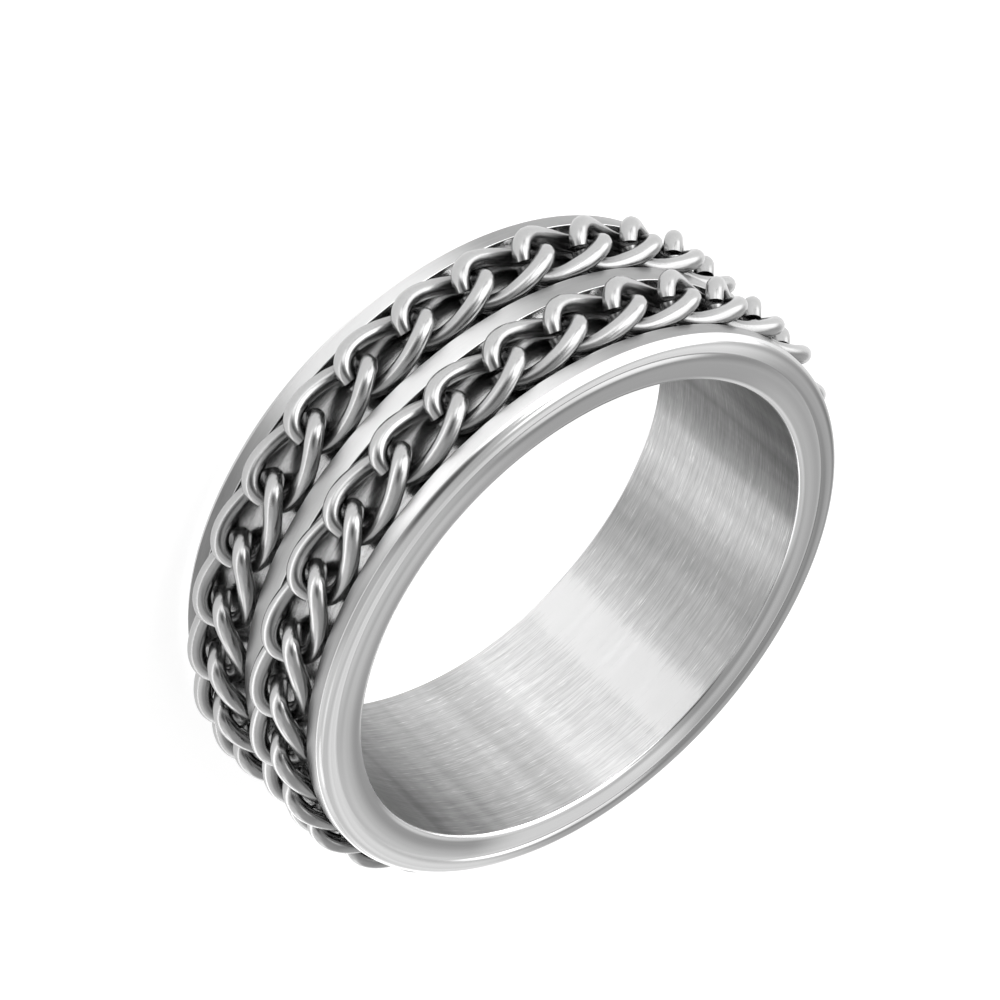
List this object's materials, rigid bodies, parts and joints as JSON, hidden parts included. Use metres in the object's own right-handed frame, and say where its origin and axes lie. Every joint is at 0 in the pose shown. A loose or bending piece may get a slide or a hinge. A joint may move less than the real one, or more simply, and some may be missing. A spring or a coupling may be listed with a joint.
{
  "type": "chain link ring",
  "caption": "Steel band ring with a groove on each side of a narrow rib, each holding a loose endless curb chain of twisted wire links, with polished rounded edges and a brushed finger hole.",
  "frame": {"origin": "on the axis of the band, in the plane of the side face that it lies on", "axes": "+Z along the axis of the band, up from the surface that it lies on; X and Y in the plane of that side face"},
  "size_m": [0.0246, 0.0245, 0.008],
  "materials": {
    "band_steel": "brushed round the outside and in the finger hole, with polished beads on the outer edges of the side faces",
    "chain_steel": "polished wire with soft highlights"
  },
  "bodies": {
    "root": {"band": "band_steel", "upper_chain": "chain_steel", "lower_chain": "chain_steel"}
  },
  "joints": []
}
